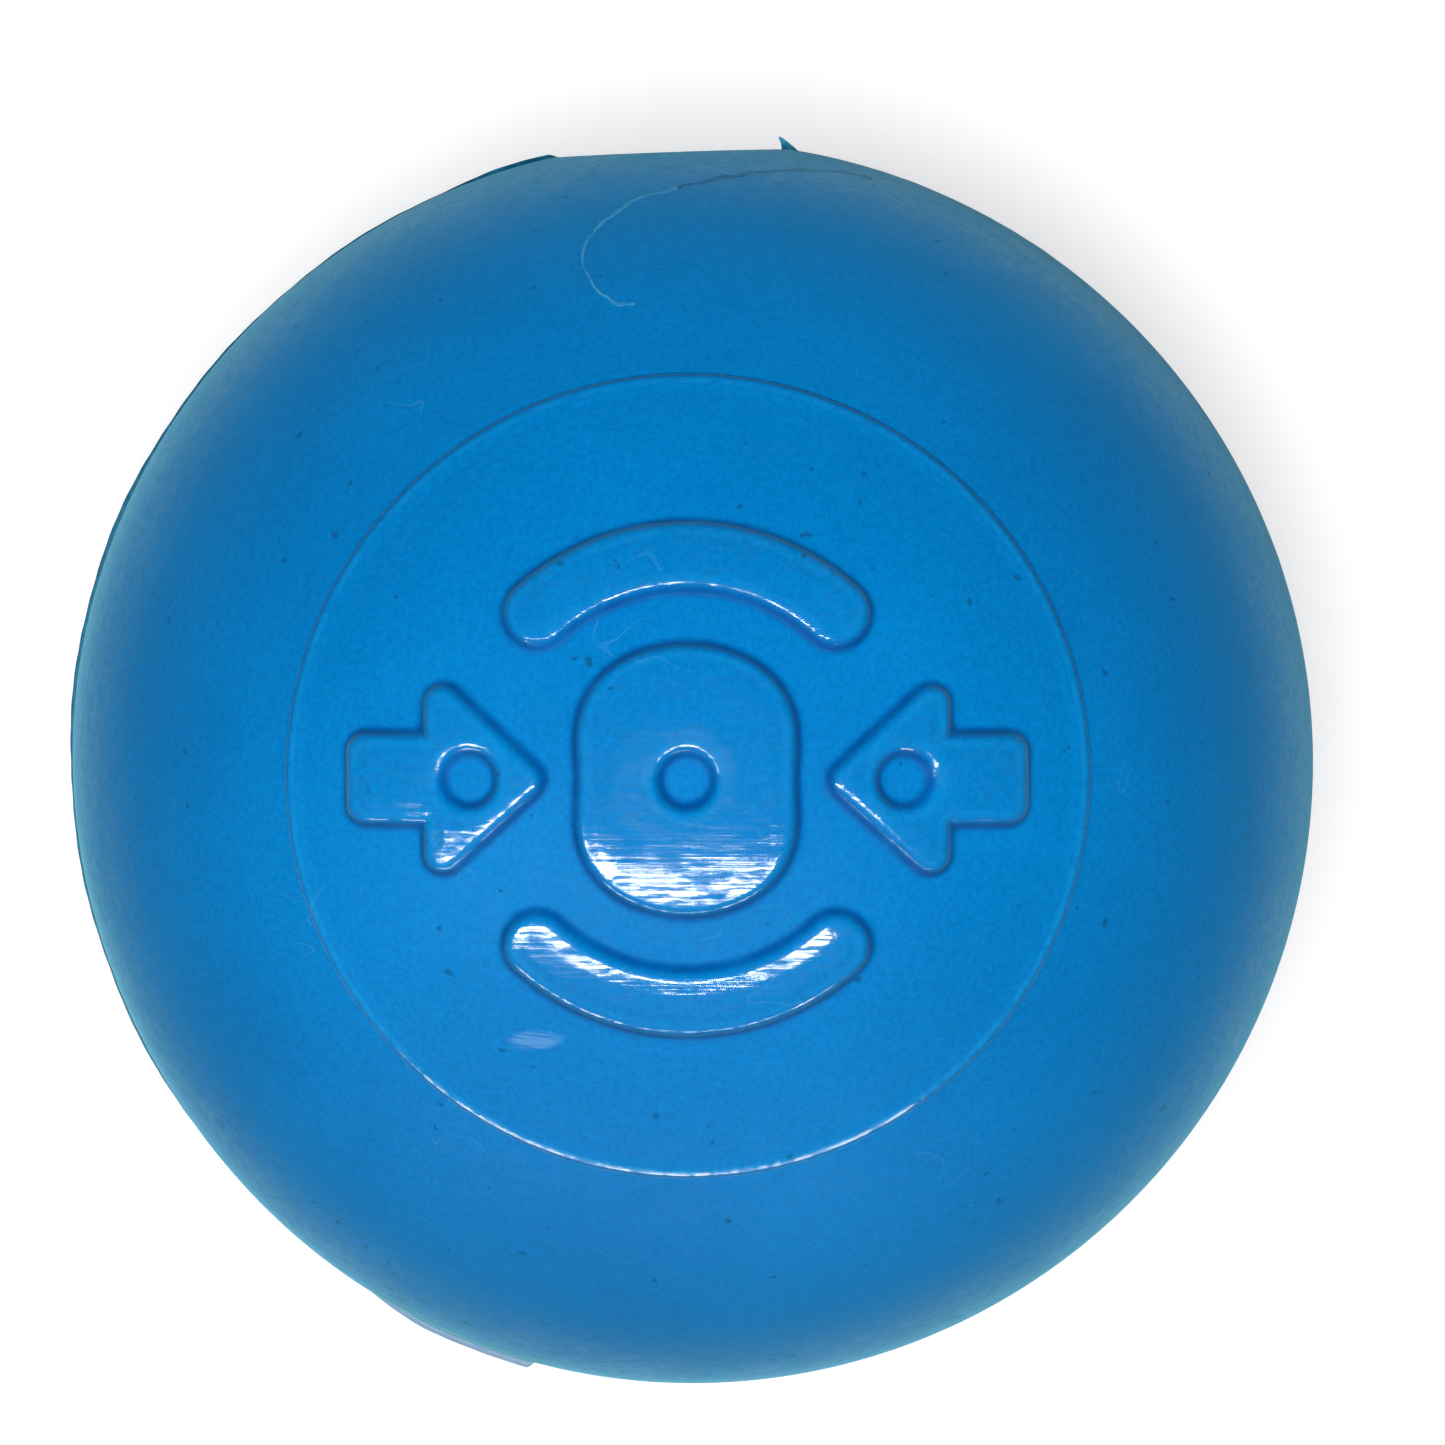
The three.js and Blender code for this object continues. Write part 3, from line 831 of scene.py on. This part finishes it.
# The seam's flash and the burrs: the same rubber, dragged thin, darker and duller. The burrs get a paler
# copy, painted light for thin shapes that catch little lamp light
def cementRubber(name, dark, pale):
    n = Nodes(name)
    drag = n.noise(1.4, 4, 0.6)
    colour = n.mix(n.ramp(drag, 0.35, 0.65), dark, pale)
    lip = n.ramp(n.attribute("lip"), 0.3, 0.5)
    # painted highlight: the lip of the widest sliver made pale where light catches it
    colour = n.mix(n.math("MULTIPLY", sliverSector(n), lip), colour, seamFinish["sliverHighlight"])
    n.put(n.shader.inputs["Base Color"], colour)
    n.put(n.shader.inputs["Roughness"], n.ramp(drag, 0.3, 0.7, 0.42, 0.6))
    n.put(n.shader.inputs["Normal"], n.bump(drag, seamFinish["dragDepth"]))
    n.shader.inputs["IOR"].default_value = seamFinish["ior"]
    return n.material


plugFinish = {
    "dark": (0.003, 0.160, 0.45, 1),
    "pale": (0.015, 0.215, 0.56, 1),
    "dragDepth": 0.03,
    "grainDepth": 0.01,
    "ior": 1.3,
}


# The plug's rubber: a face cut by a knife, with straight drag lines and torn grain
def trimmedRubber():
    n = Nodes("trimmedRubber")
    drag = n.noise(1.0, 4, 0.6, stretch=(0.22, 1.0, 9.0))
    grain = n.noise(3.0, 4, 0.65)
    colour = n.mix(n.ramp(drag, 0.3, 0.7), plugFinish["dark"], plugFinish["pale"])
    n.put(n.shader.inputs["Base Color"], colour)
    n.put(n.shader.inputs["Roughness"], n.ramp(grain, 0.3, 0.7, 0.45, 0.62))
    cut = n.bump(drag, plugFinish["dragDepth"])
    n.put(n.shader.inputs["Normal"], n.bump(grain, plugFinish["grainDepth"], cut))
    n.shader.inputs["IOR"].default_value = plugFinish["ior"]
    return n.material


foamFinish = {
    "dull": (0.70, 0.62, 0.44, 1),
    "pale": (0.78, 0.72, 0.56, 1),
    "poreAndShade": (0.42, 0.36, 0.24, 1),
    "cellsPerMm": 1.3,
    "poreDepth": 0.25,
    "ior": 1.3,
}


# Soft foam: pale cells with darker pores between them, the darkening being painted shade in the recesses
def openFoam():
    n = Nodes("openFoam")
    cell = n.add("ShaderNodeTexVoronoi", {"Vector": n.place, "Scale": foamFinish["cellsPerMm"]})
    poreAndShade = n.ramp(cell.outputs["Distance"], 0.15, 0.65)
    stain = n.ramp(n.noise(0.1, 4), 0.3, 0.7)
    colour = n.mix(stain, foamFinish["dull"], foamFinish["pale"])
    colour = n.mix(poreAndShade, colour, foamFinish["poreAndShade"])
    n.put(n.shader.inputs["Base Color"], colour)
    n.put(n.shader.inputs["Roughness"], n.ramp(poreAndShade, 0, 1, 0.85, 0.98))
    n.put(n.shader.inputs["Normal"], n.bump(n.math("SUBTRACT", 1.0, poreAndShade), foamFinish["poreDepth"]))
    n.shader.inputs["IOR"].default_value = foamFinish["ior"]
    return n.material


flashRubber = cementRubber("seamRubber", seamFinish["flashDark"], seamFinish["flashPale"])
# painted light: a paler copy of the seam rubber for the burrs
burrRubberLit = cementRubber("burrRubberLit", seamFinish["burrLitDark"], seamFinish["burrLitPale"])
upperSkin.data.materials.append(rubberSkin("upperSkinRubber", marked=True))
lowerSkin.data.materials.append(rubberSkin("lowerSkinRubber", shade=0.97))
seamFlash.data.materials.append(flashRubber)
for burr in burrPieces:
    burr.data.materials.append(burrRubberLit)
fillPlug.data.materials.append(trimmedRubber())
foamCore.data.materials.append(openFoam())
print("materials made")


# the squeeze joint's lower half stays put and its upper half moves down: each flattens towards its own pole
dressing = [
    (upperSkin, "upper_half_shell", "upper_skin"),
    (lowerSkin, "lower_half_shell", "lower_skin"),
    (seamFlash, "seam_bond", "rubber_cement"),
    (fillPlug, "fill_plug", "plug_rubber"),
    (foamCore, "foam_core", "core_foam"),
]
for piece, node, slot in dressing:
    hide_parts(node)
for piece in [upperSkin, lowerSkin, seamFlash, fillPlug, foamCore, *burrPieces]:
    moves = piece is upperSkin
    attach(piece, "upper_half" if moves else "lower_half")
    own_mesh(piece)
print("pieces tied to the frame")


studio = {
    "floorSize": 6.0,
    "floorColour": (0.5, 0.5, 0.5, 1),
    "floorGlow": 0.64,  # keeps the paper pale in the ball's shadow
    "floorBounce": (0.30, 0.33, 0.36, 1),  # how much of its light the paper throws back at the ball
    "keyPower": 9.6,
    "keyPlace": (-0.05, -0.055, 0.95),
    "keySize": 0.32,
    "stripPower": 9.0,
    "stripPlace": (-0.16, -0.180, 0.42),
    "stripSize": (0.66, 0.095),
    "rimPower": 7.0,
    "rimPlace": (-0.10, -0.5, 0.08),
    "rimSize": (0.8, 0.12),
    "fillColour": (0.93, 0.96, 1, 1),
    "fillStrength": 0.08,
    "backdrop": 0.95,
}


# A square of pale paper under the ball, glowing a little towards the camera only
def makeFloor():
    size = studio["floorSize"] / 2
    low = -ballRadius * mm
    corners = [(-size, -size, low), (size, -size, low), (size, size, low), (-size, size, low)]
    mesh = bpy.data.meshes.new("floor")
    mesh.from_pydata(corners, [], [(0, 1, 2, 3)])
    floor = bpy.data.objects.new("floor", mesh)
    bpy.context.scene.collection.objects.link(floor)
    paper = Nodes("floorPaper")
    seen = paper.add("ShaderNodeLightPath", {}).outputs["Is Camera Ray"]
    colour = paper.mix(seen, studio["floorBounce"], studio["floorColour"])
    paper.put(paper.shader.inputs["Base Color"], colour)
    paper.shader.inputs["Roughness"].default_value = 0.9
    paper.shader.inputs["Specular IOR Level"].default_value = 0.1
    paper.shader.inputs["Emission Color"].default_value = (1, 1, 1, 1)
    paper.put(paper.shader.inputs["Emission Strength"], paper.math("MULTIPLY", seen, studio["floorGlow"]))
    mesh.materials.append(paper.material)


# A round or a long area light, aimed level at the ball's axis
def makeLight(name, place, size, power):
    light = bpy.data.lights.new(name, "AREA")
    light.energy = power
    light.shape = "RECTANGLE" if len(size) == 2 else "DISK"
    light.size = size[0]
    if len(size) == 2:
        light.size_y = size[1]
    lamp = bpy.data.objects.new(name, light)
    bpy.context.scene.collection.objects.link(lamp)
    lamp.location = place
    # turned about X only, so that a strip stays level with the marks
    lamp.rotation_euler = (math.atan2(-place[1], place[2]), 0, 0)
    lamp.visible_camera = False
    return lamp


# White behind everything for the camera, a faint cool fill for the ball
def makeWorld():
    world = bpy.data.worlds.new("studio")
    bpy.context.scene.world = world
    world.use_nodes = True
    tree = world.node_tree
    fill = tree.nodes["Background"]
    fill.inputs["Color"].default_value = studio["fillColour"]
    fill.inputs["Strength"].default_value = studio["fillStrength"]
    backdrop = tree.nodes.new("ShaderNodeBackground")
    backdrop.inputs["Color"].default_value = (1, 1, 1, 1)
    backdrop.inputs["Strength"].default_value = studio["backdrop"]
    path = tree.nodes.new("ShaderNodeLightPath")
    mix = tree.nodes.new("ShaderNodeMixShader")
    tree.links.new(path.outputs["Is Camera Ray"], mix.inputs[0])
    tree.links.new(fill.outputs[0], mix.inputs[1])
    tree.links.new(backdrop.outputs[0], mix.inputs[2])
    tree.links.new(mix.outputs[0], tree.nodes["World Output"].inputs["Surface"])


camera = {
    "distance": 0.70,
    "tiltUp": 1.6,  # degrees past the medallion's axis, towards the plug
    "tiltRight": 0.5,
    "roll": 2.0,
    "ballShare": 0.4297,  # the ball's radius as a share of the picture's width
    "shift": (0.0210, 0.0276),
    "sensor": 36.0,
}


# Looks at the ball's centre from the medallion's side, leaning as camera says. The lens gives ballShare
def makeCamera():
    c = camera
    data = bpy.data.cameras.new("camera")
    eye = bpy.data.objects.new("camera", data)
    bpy.context.scene.collection.objects.link(eye)
    roll = math.radians(c["roll"])
    up = np.array([math.sin(roll), math.cos(roll), 0])
    right = np.array([math.cos(roll), -math.sin(roll), 0])
    lean = up * math.sin(math.radians(c["tiltUp"])) + right * math.sin(math.radians(c["tiltRight"]))
    back = lean + [0, 0, math.sqrt(1 - lean @ lean)]
    side = np.cross(up, back)
    side /= np.linalg.norm(side)
    over = np.cross(back, side)
    matrix = np.eye(4)
    matrix[:3, 0], matrix[:3, 1], matrix[:3, 2], matrix[:3, 3] = side, over, back, back * c["distance"]
    eye.matrix_world = matrix.T.tolist()
    data.sensor_width = c["sensor"]
    seen = math.tan(math.asin(ballRadius * mm / c["distance"]))
    data.lens = c["sensor"] * c["ballShare"] / seen
    data.shift_x, data.shift_y = c["shift"]
    data.clip_start = 0.01
    bpy.context.scene.camera = eye


makeFloor()
key = makeLight("keyLight", studio["keyPlace"], (studio["keySize"],), studio["keyPower"])
key.visible_glossy = False
strip = makeLight("stripLight", studio["stripPlace"], studio["stripSize"], studio["stripPower"])
strip.visible_diffuse = False
rim = makeLight("rimLight", studio["rimPlace"], studio["rimSize"], studio["rimPower"])
rim.visible_diffuse = False
makeWorld()
makeCamera()
bpy.context.scene.view_settings.view_transform = "Standard"
print("studio made")
